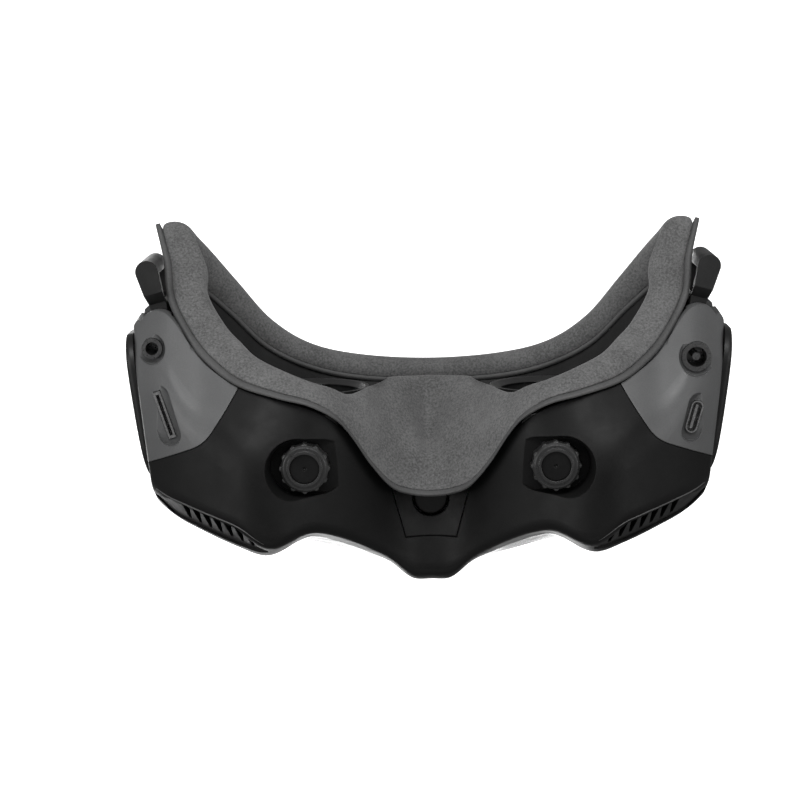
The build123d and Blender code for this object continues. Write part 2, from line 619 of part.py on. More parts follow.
fan_housing = box(-FAN_HALF, FAN_HALF, *FAN_Y, FAN_Z - FAN_HALF, FAN_Z + FAN_HALF)
fan_housing = fillet(fan_housing.edges().filter_by(Axis.Y), 2.5)
fan_housing -= rod_y(0, FAN_Z, 12.2, -50, -30)
fan_housing += rod_y(0, FAN_Z, 6.0, FAN_Y[1] - 1.2, FAN_Y[1])
for i in range(3):
    arm = box(4, 12.8, -0.6, 0.6, -1, 1)
    fan_housing += Pos(0, FAN_Y[1] - 0.6, FAN_Z) * Rot(0, 30 + 120 * i, 0) * arm
save("fan_housing", fan_housing)
rotor = rod_y(0, FAN_Z, 5.6, FAN_Y[0] + 0.4, FAN_Y[1] - 1.4)
for i in range(7):
    blade = Rot(0, 360 * i / 7, 0) * Pos(8.2, 0, 0) * Rot(35, 0, 0) * Box(7.2, 0.7, 5.0)
    rotor += Pos(0, (FAN_Y[0] + FAN_Y[1]) / 2 - 0.4, FAN_Z) * blade
save("fan_rotor", rotor & rod_y(0, FAN_Z, 11.8, FAN_Y[0] + 0.2, FAN_Y[1] - 1.35))

# ---- ports ---------------------------------------------------------------------------------------------
AUDIO_BORE_R = 1.76
jack = rod_z(audio_x, audio_y, 2.8, AUDIO_FLOOR_Z - 1.0, 37)
jack += box(audio_x - 3, audio_x + 2.3, audio_y - 3, audio_y + 3, 36, 43)
save("audio_jack", jack - rod_z(audio_x, audio_y, AUDIO_BORE_R, 20, 41.5))
power = rod_z(power_x, power_y, 4.0, POWER_FLOOR_Z - 0.6, 34)
power += box(power_x - 4.0, power_x + 4.5, power_y - 4.5, power_y + 4.5, 33, 40)
power -= rod_z(power_x, power_y, 2.75, 10, 36)
power += rod_z(power_x, power_y, 1.05, POWER_FLOOR_Z + 0.8, 37)
save("power_jack", power)
card = Box(2.0, 13.2, 15.6) - Pos(0, 0, -4) * Box(0.9, 11.6, 12)
card_place = Pos(CARD_CENTRE[0], CARD_CENTRE[1], CARD_FLOOR_Z + 7.4) * Rot(0, 0, CARD_TURN)
save("card_slot", card_place * card)
usb_place = Pos(USB_CENTRE[0], USB_CENTRE[1], 0) * Rot(0, 0, USB_TURN)
USB_HALF, USB_R = 2.87, 1.6
usb = turned_slot(USB_CENTRE, USB_TURN, USB_HALF, USB_R, USB_FLOOR_Z - 0.7, USB_FLOOR_Z + 8)
usb -= turned_slot(USB_CENTRE, USB_TURN, USB_HALF, USB_R - 0.35, 0, USB_FLOOR_Z + 7)
usb += usb_place * box(-0.35, 0.35, -3.3, 3.3, USB_FLOOR_Z + 0.3, USB_FLOOR_Z + 7.5)
save("usb_port", usb)
save("card_board", card_place * box(-2.6, -1.2, -9, 7, -4.0, 14))
save("usb_board", usb_place * box(1.8, 3.2, -9, 7, USB_FLOOR_Z + 4, USB_FLOOR_Z + 22))

# ---- link button ---------------------------------------------------------------------------------------
button = rod_z(0, BUTTON_Y, BUTTON_R, 28.4, 32.4)
button = chamfer(button.faces().sort_by(Axis.Z)[0].edges(), 0.4)
save("link_button", button)
save("button_switch", box(-4, 4, BUTTON_Y - 3, BUTTON_Y + 3.5, 33.6, 36))

# ---- strap loops ---------------------------------------------------------------------------------------
LOOP_END = (76.9, 36.4)
LOOP_END_R, LOOP_ROOT_R = 3.1, 2.1
LOOP_Z = (32.0, 58.0)


def strap_loop():
    """A strap loop on its vertical pin: a tapered link in plan, wide at the strap end."""
    (px, py), (ex, ey) = STRAP_PIN, LOOP_END
    reach = hypot(ex - px, ey - py)
    lean = asin_of((LOOP_END_R - LOOP_ROOT_R) / reach)
    middle = (LOOP_Z[0] + LOOP_Z[1]) / 2
    root_half = (STRAP_GAP_Z[1] - STRAP_GAP_Z[0]) / 2 - 0.3
    end_half = (LOOP_Z[1] - LOOP_Z[0]) / 2
    root_x, root_y = -LOOP_ROOT_R * sin(lean), LOOP_ROOT_R * cos(lean)
    end_x, end_y = reach - LOOP_END_R * sin(lean), LOOP_END_R * cos(lean)
    sides = [(root_x, root_y), (end_x, end_y), (end_x, -end_y), (root_x, -root_y)]
    link = prism_z(sides, -end_half, end_half)
    link += rod_z(0, 0, LOOP_ROOT_R, -end_half, end_half) + rod_z(reach, 0, LOOP_END_R, -end_half, end_half)
    side_view = Plane.XZ * make_face(
        Polyline((-3, -root_half), (3.4, -root_half), (6.4, -end_half), (20, -end_half), (20, end_half),
                 (6.4, end_half), (3.4, root_half), (-3, root_half), close=True)
    )
    link = link & extrude(side_view, 10, both=True)
    link -= box(4.4, 11.4, -10, 10, -end_half + 3, end_half - 3)
    link -= rod_z(0, 0, STRAP_PIN_R + RUNNING, -20, 20)
    turn = degrees(atan2(ey - py, ex - px))
    return Pos(px, py, middle) * Rot(0, 0, turn) * link


def asin_of(ratio):
    return atan2(ratio, (1 - ratio * ratio) ** 0.5)


def strap_pin():
    return rod_z(*STRAP_PIN, STRAP_PIN_R - 0.02, STRAP_GAP_Z[0] - 2.8, STRAP_GAP_Z[1] + 2.8)


# ---- antennas ------------------------------------------------------------------------------------------
def antenna():
    """A folded antenna blade, drawn along -X from its pin."""
    half = ANTENNA_T / 2
    blade = box(-ANTENNA_L + 1.2, 0, -ANTENNA_W / 2, ANTENNA_W / 2, -half, half)
    blade = fillet(blade.edges().filter_by(Axis.Z).sort_by(Axis.X)[:2], 3.5)
    blade = fillet(blade.faces().sort_by(Axis.Z)[-1].edges().sort_by(Axis.X)[:-1], 0.8)
    blade += rod_y(0, 0, half, -ANTENNA_W / 2, ANTENNA_W / 2)
    blade -= rod_y(0, 0, 1.0 + RUNNING, -20, 20)
    return Pos(ANTENNA_HINGE[0], ANTENNA_Y, ANTENNA_HINGE[1]) * Rot(0, ANTENNA_TILT, 0) * blade


def antenna_pin():
    half_length = ANTENNA_W / 2 + 1.7
    return rod_y(*ANTENNA_HINGE, 0.98, ANTENNA_Y - half_length, ANTENNA_Y + half_length)


for name, shape in (
    ("strap_loop", strap_loop()),
    ("strap_pin", strap_pin()),
    ("antenna", antenna()),
    ("antenna_pin", antenna_pin()),
):
    left, right = both(shape)
    save(f"{name}_left", left)
    save(f"{name}_right", right)

# ---- casing --------------------------------------------------------------------------------------------
outer_form = body_loft()
side_faces = [f for f in outer_form.faces() if abs(f.center().X) > 78 and f.geom_type == GeomType.PLANE]
outer_form = Part() + fillet([e for f in side_faces for e in f.edges()], 3.0)
shell = outer_form - body_loft(WALL, 8)

# bosses behind the port pockets, knob wells, strap hinges and antenna trays
bosses = [
    rod_z(audio_x, audio_y, audio_r + POCKET_WALL, 18, AUDIO_FLOOR_Z + POCKET_WALL),
    rod_z(power_x, power_y, power_r + POCKET_WALL, 12, POWER_FLOOR_Z + POCKET_WALL),
    turned_slot(CARD_CENTRE, CARD_TURN, 5.0, 3.3 + POCKET_WALL, 6, CARD_FLOOR_Z + POCKET_WALL),
    turned_slot(USB_CENTRE, USB_TURN, 3.6, 3.0 + POCKET_WALL, 6, USB_FLOOR_Z + POCKET_WALL),
]
for side in (1, -1):
    bosses += [
        slot_z(side * well_x0, side * well_x1, KNOB_Y, WELL_R + POCKET_WALL, 0, WELL_LID_Z),
        box(side * 70.6, side * 81.5, 20.6, 30, 30.5, 59.6),
        box(side * (SCREW_X - 2.6), side * (SCREW_X + 2.6), -13, -4.9, SCREW_Z - 2.6, 77),
    ]
tray_half = ANTENNA_W / 2 + 2.2
tray_left = (
    Pos(ANTENNA_HINGE[0], ANTENNA_Y, ANTENNA_HINGE[1])
    * Rot(0, ANTENNA_TILT, 0)
    * box(-ANTENNA_L - 1.4, 4.6, -tray_half, tray_half, -ANTENNA_T / 2 - 0.3 - TRAY_WALL, 12)
)
bosses += both(tray_left)
for boss in bosses:
    shell += boss & outer_form

# pockets and wells cut through the casing
shell -= rod_z(audio_x, audio_y, audio_r, 0, AUDIO_FLOOR_Z)
shell -= rod_z(audio_x, audio_y, 2.85, 0, 40)
shell -= rod_z(power_x, power_y, power_r, 0, POWER_FLOOR_Z)
shell -= rod_z(power_x, power_y, 4.05, 0, 40)
shell -= turned_slot(CARD_CENTRE, CARD_TURN, 5.0, 3.3, 0, CARD_FLOOR_Z)
shell -= Pos(CARD_CENTRE[0], CARD_CENTRE[1], 20) * Rot(0, 0, CARD_TURN) * Box(2.2, 13.4, 20)
shell -= turned_slot(USB_CENTRE, USB_TURN, 3.6, 3.0, 0, USB_FLOOR_Z)
shell -= turned_slot(USB_CENTRE, USB_TURN, 2.87, 1.65, 0, 30)
for well in both(knob_well()):
    shell -= well
for side in (1, -1):
    shell -= slot_z(side * well_x0, side * well_x1, KNOB_Y, 2.1, 5, 15)
    pin_x, pin_y = side * STRAP_PIN[0], STRAP_PIN[1]
    shell -= rod_z(pin_x, pin_y, 3.4, *STRAP_GAP_Z)
    shell -= prism_z(
        [(side * (STRAP_PIN[0] - 3.4), pin_y), (side * (STRAP_PIN[0] - 3.4), 40), (side * 95, 40),
         (side * 95, pin_y + 4.6), (side * (STRAP_PIN[0] + 7.0), pin_y - 1.2), (pin_x, pin_y - 3.4)],
        *STRAP_GAP_Z,
    )
    shell -= box(side * 70, side * 95, 27.4, 80, LOOP_Z[0] - 0.8, LOOP_Z[1] + 0.8)
    shell -= rod_z(pin_x, pin_y, STRAP_PIN_R, STRAP_GAP_Z[0] - 3, STRAP_GAP_Z[1] + 3)
    shell -= rod_y(side * SCREW_X, SCREW_Z, 1.0, -11, 0)
recess_left = (
    Pos(ANTENNA_HINGE[0], ANTENNA_Y, ANTENNA_HINGE[1])
    * Rot(0, ANTENNA_TILT, 0)
    * box(-ANTENNA_L, 3.0, -ANTENNA_W / 2 - 0.3, ANTENNA_W / 2 + 0.3, -ANTENNA_T / 2 - 0.3, 20)
)
pin_half = ANTENNA_W / 2 + 1.9
pin_hole = rod_y(*ANTENNA_HINGE, 1.0, ANTENNA_Y - pin_half, ANTENNA_Y + pin_half)
for cutter in (*both(recess_left), *both(pin_hole)):
    shell -= cutter
shell -= ring_solid(0.6, -0.4, None, extra_width=0.8)
shell -= box(-100, 100, 26.5, 80, 0, TOP_SPLIT_Z)
shell -= box(-100, 100, 30.5, 80, 0, 100)

# side shells: their joint with the lower housing runs across the underside
SIDE_PLAN = [(49.0, 10.4), (53.4, 2.5), (60.2, -7.8), (75, -13.8), (95, -22.3), (95, 40), (49, 40)]
SIDE_ROUNDING = (0, 4, 4, 2, 0, 0, 0)
VISOR_OUTLINE = [
    (-70.5, 58), (-70.5, 32), (-60, 24), (-44, 19), (-33, 19.5), (-22, 25.5), (-10, 32.5),
    (10, 32.5), (22, 25.5), (33, 19.5), (44, 19), (60, 24), (70.5, 32), (70.5, 58),
]
VISOR_ROUNDING = (6,) + (8,) * (len(VISOR_OUTLINE) - 2) + (6,)


def side_prism(margin):
    """The left side shell's region in plan, taken in by margin."""
    outline = [(x, y, 0) for x, y in inset_loop(SIDE_PLAN, margin)]
    return extrude(make_face(rounded_wire(outline, SIDE_ROUNDING)), 80)


def visor_prism(margin):
    """The front visor's region, seen from the front and taken in by margin."""
    outline = [(x, -60, z) for x, z in inset_loop(VISOR_OUTLINE, margin)]
    return extrude(make_face(rounded_wire(outline, VISOR_ROUNDING)), 48, dir=(0, 1, 0))


STRIP_X = (43.5, 47, 52, 58, 64, 70, 75)


def strip_solid(side, margin, out, into):
    """The region of one vent strip, between the casing's lower rim line and its front line."""
    wires = []
    for x in STRIP_X:
        low, high = Vector(side * x, edge_y(x), edge_z(x)), Vector(side * x, front_y(x), front_z(x))
        up = (high - low).normalized()
        normal = Vector(0, -up.Z, up.Y)
        share = min((x - 42) / 7, (77 - x) / 7, 1) * 0.38
        length = (high - low).length
        middle = low + up * (length * 0.43)
        half = up * max(length * share - margin, 0.5)
        corners = (middle - half + normal * out, middle + half + normal * out,
                   middle + half - normal * into, middle - half - normal * into)
        wires.append(Wire.make_polygon([tuple(c) for c in corners]))
    ends = side * (STRIP_X[0] + margin), side * (STRIP_X[-1] - margin)
    return (Part() + Solid.make_loft(wires, ruled=True)) & box(*ends, -80, 80, -20, 80)


VENT_SLOTS, VENT_FIRST_X, VENT_PITCH = 7, 49.6, 2.9


def vent_slot(side, x):
    """A slanted vent slot, wide at the casing's lower rim and narrow at its front end."""
    low, high = Vector(side * x, edge_y(x), edge_z(x)), Vector(side * x, front_y(x), front_z(x))
    up = (high - low).normalized()
    normal = Vector(0, -up.Z, up.Y)
    length = (high - low).length
    wires = []
    for share, from_x, to_x in ((0.07, 0.0, -2.2), (0.6, -1.6, -2.4)):
        row = low + up * (length * share)
        ends = [row + Vector(side * dx, 0, 0) for dx in (from_x, to_x)]
        corners = (ends[0] + normal * 4, ends[1] + normal * 4, ends[1] - normal * 4, ends[0] - normal * 4)
        wires.append(Wire.make_polygon([tuple(c) for c in corners]))
    return Part() + Solid.make_loft(wires, ruled=True)


vent_shift = Pos(0, 0.7, 0.3)
vent_grilles = []
for side in (1, -1):
    grille = vent_shift * (shell & strip_solid(side, 0.25, 6, 7))
    for i in range(VENT_SLOTS):
        grille -= vent_slot(side, VENT_FIRST_X + VENT_PITCH * i)
    vent_grilles.append(grille)
    shell -= strip_solid(side, 0.0, 6, 9)

panel_plan = [(-10.6, -23.2), (-7.0, -36.6), (7.0, -36.6), (10.6, -23.2), (10.6, -17), (-10.6, -17)]
panel_face = make_face(Polyline(*panel_plan, close=True))
panel_region = extrude(Pos(0, 0, 18) * panel_face, 16)
panel_insert = extrude(Pos(0, 0, 18) * offset(panel_face, -SEAM), 16)
link_panel = Pos(0, 0, 0.8) * (shell & panel_insert)
link_panel -= rod_z(0, BUTTON_Y, BUTTON_R + 0.4, 0, 60)
shell -= panel_region

below_top = box(-100, 100, -80, 80, -20, TOP_SPLIT_Z)
top_cover = shell - below_top
lower_part = shell & box(-100, 100, -80, 80, -20, TOP_SPLIT_Z - SEAM)
front_visor = lower_part & visor_prism(SEAM)
lower_part -= visor_prism(0)
side_left, side_right = both(side_prism(SEAM))
side_shell_left = lower_part & side_left
side_shell_right = lower_part & side_right
for region in both(side_prism(0)):
    lower_part -= region


save("lower_housing", main_body(lower_part))
save("top_cover", main_body(top_cover))
save("front_visor", main_body(front_visor))
save("side_shell_left", main_body(side_shell_left))
save("side_shell_right", main_body(side_shell_right))
save("vent_grille_left", main_body(vent_grilles[0], 5))
save("vent_grille_right", main_body(vent_grilles[1], 5))
save("link_panel", main_body(link_panel, 20))
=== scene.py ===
"""Looks for the FPV goggles: a sculpted foam face ring with its rim and light skirt, a fine bead along each
vent strip, procedural materials on every CAD node, a pale one-sided stage and soft studio light.

Lights, stage and materials are in metres throughout."""

import json
import math

import bpy
from mathutils import Matrix, Vector
from mathutils.bvhtree import BVHTree


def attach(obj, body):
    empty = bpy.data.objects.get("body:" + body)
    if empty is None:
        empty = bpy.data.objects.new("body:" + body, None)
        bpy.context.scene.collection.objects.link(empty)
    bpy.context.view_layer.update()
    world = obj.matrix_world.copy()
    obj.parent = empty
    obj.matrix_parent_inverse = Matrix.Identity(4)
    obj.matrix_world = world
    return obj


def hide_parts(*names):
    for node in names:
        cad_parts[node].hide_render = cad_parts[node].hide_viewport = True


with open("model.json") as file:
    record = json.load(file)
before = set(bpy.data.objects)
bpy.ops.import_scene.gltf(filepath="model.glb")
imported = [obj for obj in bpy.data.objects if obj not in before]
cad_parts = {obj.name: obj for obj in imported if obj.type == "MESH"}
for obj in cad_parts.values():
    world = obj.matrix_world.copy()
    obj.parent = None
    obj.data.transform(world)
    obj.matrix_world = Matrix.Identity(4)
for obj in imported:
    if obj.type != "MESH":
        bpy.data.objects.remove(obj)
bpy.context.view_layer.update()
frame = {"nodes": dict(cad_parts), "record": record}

MM = 0.001
SIDE_NAMES = {1: "left", -1: "right"}
STAND = Vector((0, -0.01, 0.37))  # the CAD's shift from its drawing frame to the footprint's middle, mm


# ---- node helpers --------------------------------------------------------------------------------------
class Shader:
    """A Principled material with short calls for the textures that this scene uses."""

    def __init__(self, name, roughness=0.5, **sockets):
        self.material = bpy.data.materials.new(name)
        self.material.use_nodes = True
        self.tree = self.material.node_tree
        self.bsdf = self.tree.nodes["Principled BSDF"]
        self.bsdf.inputs["Roughness"].default_value = roughness
        for socket, value in sockets.items():
            self.bsdf.inputs[socket.replace("_", " ")].default_value = value
        self.coords = self.node("ShaderNodeTexCoord").outputs["Object"]
        self.normal = None

    def soften(self, radius):
        """Rounds the look of sharp edges by this radius in metres."""
        bevel = self.node("ShaderNodeBevel", samples=4)
        bevel.inputs["Radius"].default_value = radius
        self.normal = bevel.outputs["Normal"]

    def node(self, kind, **settings):
        node = self.tree.nodes.new(kind)
        for key, value in settings.items():
            setattr(node, key, value)
        return node

    def link(self, output, socket):
        self.tree.links.new(output, socket)

    def stretched(self, scale):
        mapping = self.node("ShaderNodeMapping")
        mapping.inputs["Scale"].default_value = scale
        self.link(self.coords, mapping.inputs["Vector"])
        return mapping.outputs["Vector"]

    def noise(self, size, detail=2.0, roughness=0.5, vector=None):
        """Noise whose features are about size metres across, 0 to 1."""
        node = self.node("ShaderNodeTexNoise")
        node.inputs["Scale"].default_value = 1.0 / size
        node.inputs["Detail"].default_value = detail
        node.inputs["Roughness"].default_value = roughness
        self.link(vector or self.coords, node.inputs["Vector"])
        return node.outputs["Fac"]

    def cells(self, size, feature="F1"):
        node = self.node("ShaderNodeTexVoronoi", feature=feature)
        node.inputs["Scale"].default_value = 1.0 / size
        self.link(self.coords, node.inputs["Vector"])
        return node.outputs["Distance"]

    def remap(self, value, low, high, to_low, to_high):
        node = self.node("ShaderNodeMapRange")
        for socket, number in zip(("From Min", "From Max", "To Min", "To Max"), (low, high, to_low, to_high)):
            node.inputs[socket].default_value = number
        self.link(value, node.inputs["Value"])
        return node.outputs["Result"]

    def math(self, operation, a, b):
        node = self.node("ShaderNodeMath", operation=operation)
        for socket, value in zip(node.inputs, (a, b)):
            if isinstance(value, (int, float)):
                socket.default_value = value
            else:
                self.link(value, socket)
        return node.outputs["Value"]

    def blend(self, factor, first, second):
        node = self.node("ShaderNodeMix", data_type="RGBA")
        self.link(factor, node.inputs["Factor"])
        node.inputs["A"].default_value = (*first, 1)
        node.inputs["B"].default_value = (*second, 1)
        return node.outputs["Result"]

    def colour(self, factor, first, second):
        self.link(self.blend(factor, first, second), self.bsdf.inputs["Base Color"])

    def rough(self, value):
        self.link(value, self.bsdf.inputs["Roughness"])

    def bump(self, height, distance, strength=1.0):
        node = self.node("ShaderNodeBump")
        node.inputs["Strength"].default_value = strength
        node.inputs["Distance"].default_value = distance
        self.link(height, node.inputs["Height"])
        if self.normal:
            self.link(self.normal, node.inputs["Normal"])
        self.normal = node.outputs["Normal"]
        self.link(self.normal, self.bsdf.inputs["Normal"])


def grey(value, warmth=0.0):
    return (value * (1 + warmth), value, value * (1 - warmth))


def moulded(name, low, high, roughness, grain=0.00035, depth=0.000012, warmth=0.0, edge=0.00035, shine=0.3,
            **sockets):
    """Textured moulded plastic: a fine spark-eroded grain, slight cloudiness and handling wear."""
    shader = Shader(name, roughness, Specular_IOR_Level=shine, **sockets)
    shader.soften(edge)
    cloud = shader.noise(0.018, 3)
    fine = shader.noise(grain, 2, 0.6)
    tone = shader.math("ADD", shader.math("MULTIPLY", cloud, 0.55), shader.math("MULTIPLY", fine, 0.45))
    shader.colour(shader.remap(tone, 0.36, 0.64, 0, 1), grey(low, warmth), grey(high, warmth))
    wear = shader.noise(0.006, 4, 0.65)
    shader.rough(shader.remap(wear, 0.3, 0.7, roughness - 0.07, roughness + 0.08))
    shader.bump(fine, depth)
    return shader.material


def metal(name, tone, roughness, grain=(1, 1, 1), depth=0.000004):
    """Plated or ground metal with a directional finish."""
    shader = Shader(name, roughness, Metallic=1.0)
    streaks = shader.noise(0.0006, 3, 0.6, shader.stretched(grain))
    shader.colour(shader.remap(streaks, 0.35, 0.65, 0, 1), grey(tone * 0.86), grey(tone))
    shader.rough(shader.remap(streaks, 0.3, 0.7, roughness - 0.05, roughness + 0.1))
    shader.bump(streaks, depth)
    return shader.material


def suede(name, low, high, nap=0.0006, depth=0.00013):
    """Short nap over foam: mottled tufts, a soft sheen at grazing angles and rubbed patches."""
    shader = Shader(name, 0.92, Specular_IOR_Level=0.2, Sheen_Weight=0.22, Sheen_Roughness=0.5)
    tufts = shader.noise(nap, 3, 0.65)
    mottle = shader.noise(0.009, 3, 0.55)
    tone = shader.math("ADD", shader.math("MULTIPLY", tufts, 0.72), shader.math("MULTIPLY", mottle, 0.28))
    shader.colour(shader.remap(tone, 0.38, 0.62, 0, 1), grey(low), grey(high))
    shader.rough(shader.remap(mottle, 0.3, 0.7, 0.86, 0.98))
    shader.bump(tufts, depth, 0.85)
    return shader.material


def glass(name, tint, coating, roughness=0.02):
    """Coated optical glass; its tint darkens a little in patches across the surface."""
    coat = dict(Coat_Weight=0.25, Coat_Tint=(*coating, 1))
    shader = Shader(name, roughness, Transmission_Weight=0.92, IOR=1.5, **coat)
    drift = shader.noise(0.012, 2)
    shader.colour(drift, tint, tuple(c * 0.94 for c in tint))
    haze = shader.noise(0.008, 2, 0.5)
    shader.rough(shader.remap(haze, 0.3, 0.7, roughness, roughness + 0.015))
    return shader.material


def circuit(name):
    """Solder mask with faint traces."""
    shader = Shader(name, 0.38)
    wave = shader.node("ShaderNodeTexBrick")
    wave.inputs["Scale"].default_value = 260
    wave.inputs["Mortar Size"].default_value = 0.03
    wave.inputs["Color1"].default_value = (0.010, 0.055, 0.028, 1)
    wave.inputs["Color2"].default_value = (0.012, 0.070, 0.034, 1)
    wave.inputs["Mortar"].default_value = (0.10, 0.16, 0.06, 1)
    shader.link(shader.coords, wave.inputs["Vector"])
    shader.link(wave.outputs["Color"], shader.bsdf.inputs["Base Color"])
    shader.bump(wave.outputs["Fac"], 0.00003)
    return shader.material


MATERIALS = {
    "black_casing": moulded("black_casing", 0.0045, 0.0075, 0.46, shine=0.16),
    "grey_casing": moulded("grey_casing", 0.080, 0.104, 0.42, warmth=-0.01, shine=0.4),
    "gloss_black": moulded("gloss_black", 0.004, 0.006, 0.26, grain=0.004, depth=0.000003, shine=0.14),
    "dark_inlay": moulded("dark_inlay", 0.004, 0.007, 0.58, shine=0.25),
    "inner_black": moulded("inner_black", 0.007, 0.011, 0.65, shine=0.25),
    "smoked_window": moulded("smoked_window", 0.004, 0.007, 0.08, grain=0.002, depth=0.000001),
    "black_steel": metal("black_steel", 0.10, 0.35),
    "frame_plastic": moulded("frame_plastic", 0.060, 0.090, 0.62, grain=0.0006, depth=0.00004),
    "face_foam": suede("face_foam", 0.072, 0.150),
    "bright_steel": metal("bright_steel", 0.62, 0.22, (0.05, 1, 1)),
    "circuit_board": circuit("circuit_board"),
    "heat_sink_alloy": metal("heat_sink_alloy", 0.55, 0.38, (1, 1, 0.05)),
    "jack_metal": metal("jack_metal", 0.20, 0.30),
    "shell_steel": metal("shell_steel", 0.50, 0.26),
    "button_black": moulded("button_black", 0.004, 0.007, 0.42),
    "panel_black": moulded("panel_black", 0.008, 0.013, 0.40),
    "vent_black": moulded("vent_black", 0.006, 0.010, 0.50),
    # The vent bead's light grey is a painted highlight along the vent strips' lower edge.
    "vent_highlight_bead": moulded("vent_highlight_bead", 0.060, 0.080, 0.35, shine=0.5),
    "barrel_black": moulded("barrel_black", 0.012, 0.020, 0.36, shine=0.5),
    "lens_glass": glass("lens_glass", (0.42, 0.44, 0.44), (0.75, 0.85, 0.82)),
    "gear_white": moulded("gear_white", 0.60, 0.70, 0.35),
    "knob_black": moulded("knob_black", 0.016, 0.026, 0.28, grain=0.0005, shine=0.6),
    "knob_disc": moulded("knob_disc", 0.003, 0.005, 0.34, grain=0.0005),
    "display_black": moulded("display_black", 0.006, 0.010, 0.20),
    "display_glass": glass("display_glass", (0.03, 0.03, 0.04), (0.4, 0.4, 0.6)),
    "loop_black": moulded("loop_black", 0.010, 0.016, 0.42, shine=0.45),
    "antenna_black": moulded("antenna_black", 0.008, 0.012, 0.42),
}
for entry in frame["record"]["subparts"]:
    node = frame["nodes"].get(entry["node"])
    if node is not None:
        node.data.materials.clear()
        node.data.materials.append(MATERIALS[entry["material_slot"]])

# ---- face ring -----------------------------------------------------------------------------------------
# Outer edge of the rigid frame, width towards the opening, depth towards the face, in mm, and how much of the
# depth is left at the inner side; left half.
RING = (
    ((0, -0.6, 79.6), (0, 0.5, -8.0), (0, 7.2, 0), 0.9),
    ((20, 0.6, 79.2), (0, 0.4, -8.4), (0, 7.4, 0), 0.9),
    ((36, 4.5, 77.4), (-1.5, 0, -8.5), (-1, 7.4, -0.5), 0.9),
    ((50, 11.5, 73.6), (-3.5, -0.5, -8.5), (-3.1, 8.4, -1), 0.9),
    ((62, 23, 67), (-6, -2, -7), (-5.3, 9, -1), 0.85),
    ((70.5, 34, 59.8), (-6.5, -5, -5), (-7.4, 8.4, -1), 0.8),
    ((74.6, 44, 52.5), (-6, -10, -3), (-9, 4.2, -0.5), 0.8),
    ((75.6, 48.2, 46.3), (-5, -13.5, 0.5), (-9.6, 2.4, 0), 0.75),
    ((73.2, 38.8, 41.5), (-6, -9, 3), (-10.2, 2.4, 0), 0.7),
    ((71.6, 28.3, 35), (-6, -4, 6), (-9.4, 4, 0), 0.6),
    ((65.1, 17.3, 26), (-6, 0, 7), (-7.8, 5.5, 1.5), 0.55),
    ((57.9, 10.8, 18), (-5, 2, 8), (-5.2, 7.2, 3), 0.55),
    ((50.6, 6.9, 12), (-3, 2.5, 9), (-3, 7.3, 4), 0.55),
    ((40.1, 4.3, 7), (-0.5, 2.5, 9.5), (-1, 6.7, 5.5), 0.45),
    ((32.1, 2.4, 6), (0, 2.5, 9), (0, 6, 6), 0.32),
    ((25.3, -1.3, 7), (0.5, 2.8, 7), (0.9, 7.9, 9), 0.30),
    ((21.1, -6.2, 9), (0.9, 2.6, 5.5), (0.9, 10.7, 12), 0.42),
    ((15.9, -14.8, 13), (0.8, 2.2, 4.2), (1.1, 18.8, 16), 0.75),
    ((10.6, -21.5, 17), (0.5, 2.0, 3.8), (1.7, 25.4, 21), 0.95),
    ((5.8, -24, 20), (0.2, 2.0, 3.6), (-1.0, 27.5, 26), 0.95),
    ((0, -24.8, 21), (0, 2, 3.5), (0, 28.2, 27), 0.95),
)
FRAME_T = 1.4
FOAM_INSET, FOAM_GAP = 0.45, 0.06  # the foam's edge stands in from the frame's, and just off its face, mm
FLAP_FROM, FLAP_BLEND = 12, 14  # the nose flap starts at this depth of ring and is full this much on, mm
FLAP_INWARDS = Vector((0, -0.69, 0.72))
FLAP_SWELL, SWELL_SHARE = 3.2, 0.34  # how far it stands out past its rim, mm, and in what share of its depth
CHANNEL_HALF, CHANNEL_DEPTH = 11.0, 3.4  # the channel's half width at the crest, and its depth, mm
CHANNEL_FOOT = 0.15  # the least share of that half width
CREASE_X, CREASE_HALF, CREASE_DEPTH = 1.2, 1.6, 0.7  # the fold down the channel, mm
# The light skirt's feet on the bulkhead, (x, z) in mm, one for each station from the first.
SKIRT_FEET = (
    (0, 70), (20, 69.6),
    (33.5, 68.5), (44.5, 64.5), (52, 59), (56.5, 53.5), (58.5, 48), (59, 44.5), (58.6, 42),
    (57, 38.5), (54.5, 32.5), (51, 26.5), (46, 22), (39, 18.5), (32.1, 17.8), (26.8, 17.6),
)
SKIRT_Y = -1.95
SKIRT_T = 0.9
SKIRT_OVERLAP = 0.8  # how far its upper edge reaches under the rim, mm
EYE_Z = 42.0
EYE = Vector((33.4, SKIRT_Y, EYE_Z))
# An eyepiece's middle slides between these X. Its barrel needs this radius up to this Y, and less beyond.
EYE_NEAR_X, EYE_FAR_X = 29.0, 35.5
EYE_CLEAR_R, EYE_REACH_Y, EYE_FADE_Y = 17.7, 5.5, 9.0
FOAM_PROFILE = (  # across (0 outer to 1 inner), deep (0 frame to 1 crest)
    (0.10, 0.0), (0.02, 0.10), (0.0, 0.28), (0.03, 0.52), (0.11, 0.75), (0.24, 0.92), (0.40, 1.0),
    (0.58, 0.98), (0.76, 0.86), (0.90, 0.66), (0.98, 0.42), (1.0, 0.2), (0.98, 0.0),
)
LIP_PROFILE = ((0.0, 0.1), (0.0, 0.9), (0.1, 1.0), (1.0, 1.0), (1.0, 0.0), (0.1, 0.0))


